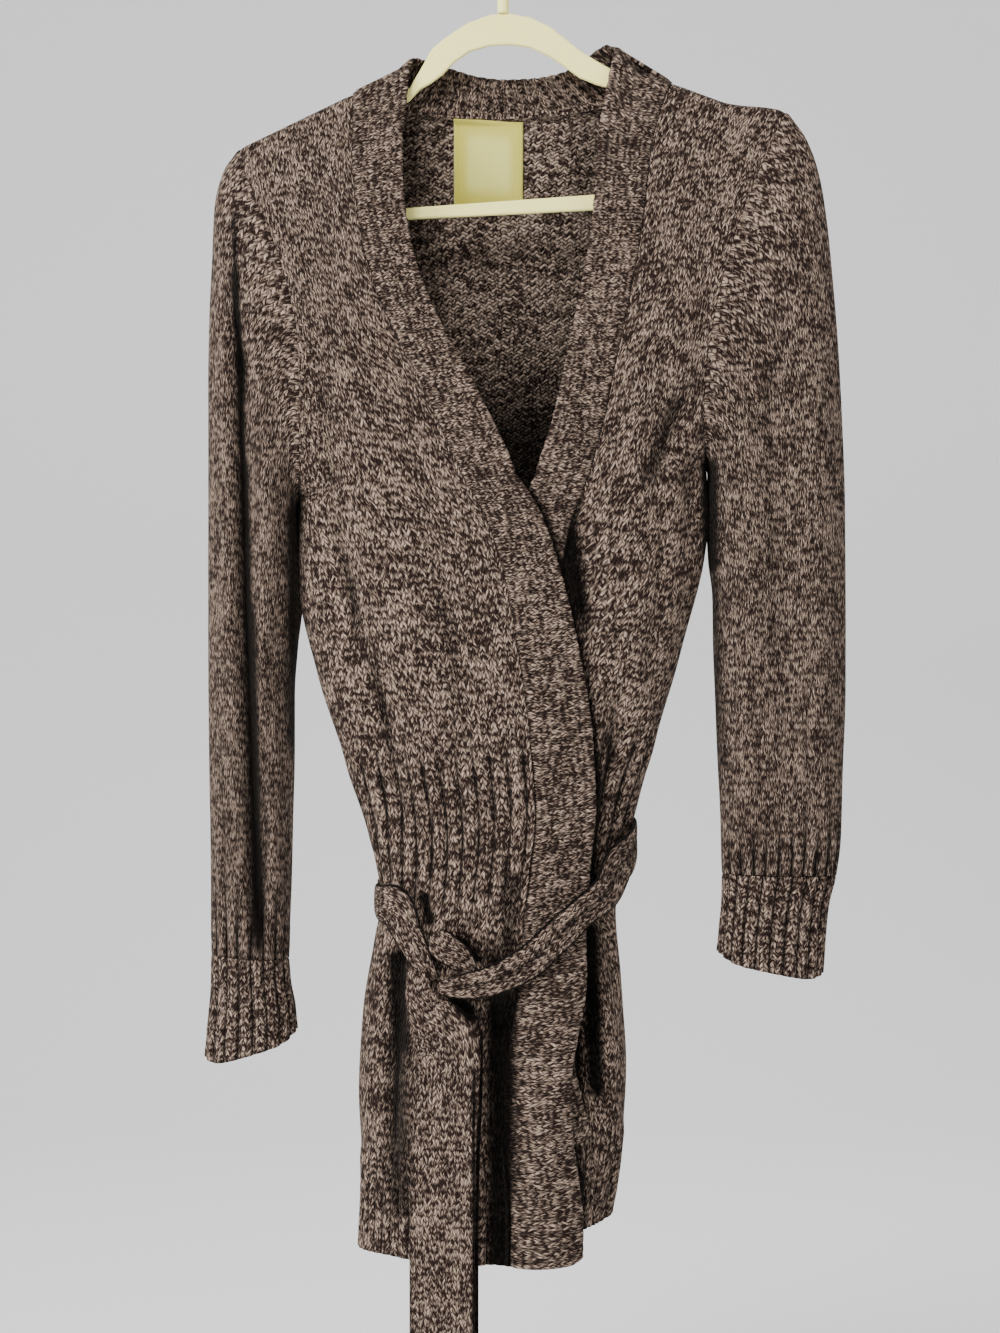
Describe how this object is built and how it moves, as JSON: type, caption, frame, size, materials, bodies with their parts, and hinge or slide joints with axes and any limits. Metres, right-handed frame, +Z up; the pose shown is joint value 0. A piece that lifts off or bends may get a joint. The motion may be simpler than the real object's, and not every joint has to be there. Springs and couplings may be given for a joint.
{
  "type": "wrap cardigan on hanger",
  "caption": "Long knitted wrap cardigan with ribbed edges, set-in sleeves and a tied belt, hung on a flat flocked hanger with a wire hook.",
  "frame": {"origin": "inner top of the hanger's hook, where it bears on a rail", "axes": "+Z up along the hanging garment, +X to the wearer's left, the fronts face -Y"},
  "size_m": [0.4663, 0.1287, 1.0694],
  "materials": {
    "marled_yarn": "dark brown and cream marled knit",
    "gold_satin": "woven satin",
    "ivory_velvet": "flocked",
    "chrome": "polished"
  },
  "bodies": {
    "root": {"back": "marled_yarn", "front_right_outer": "marled_yarn", "front_left_under": "marled_yarn", "band_front_right": "marled_yarn", "band_front_left": "marled_yarn", "band_neck": "marled_yarn", "band_corner": "marled_yarn", "sleeve_right": "marled_yarn", "sleeve_left": "marled_yarn", "cuff_right": "marled_yarn", "cuff_left": "marled_yarn", "belt_back": "marled_yarn", "belt_side_left": "marled_yarn", "belt_side_right": "marled_yarn", "belt_knot": "marled_yarn", "belt_tail_front": "marled_yarn", "belt_tail_back": "marled_yarn", "neck_label": "gold_satin", "hanger_plate": "ivory_velvet", "hanger_ferrule": "ivory_velvet", "hanger_hook": "chrome"}
  },
  "joints": []
}
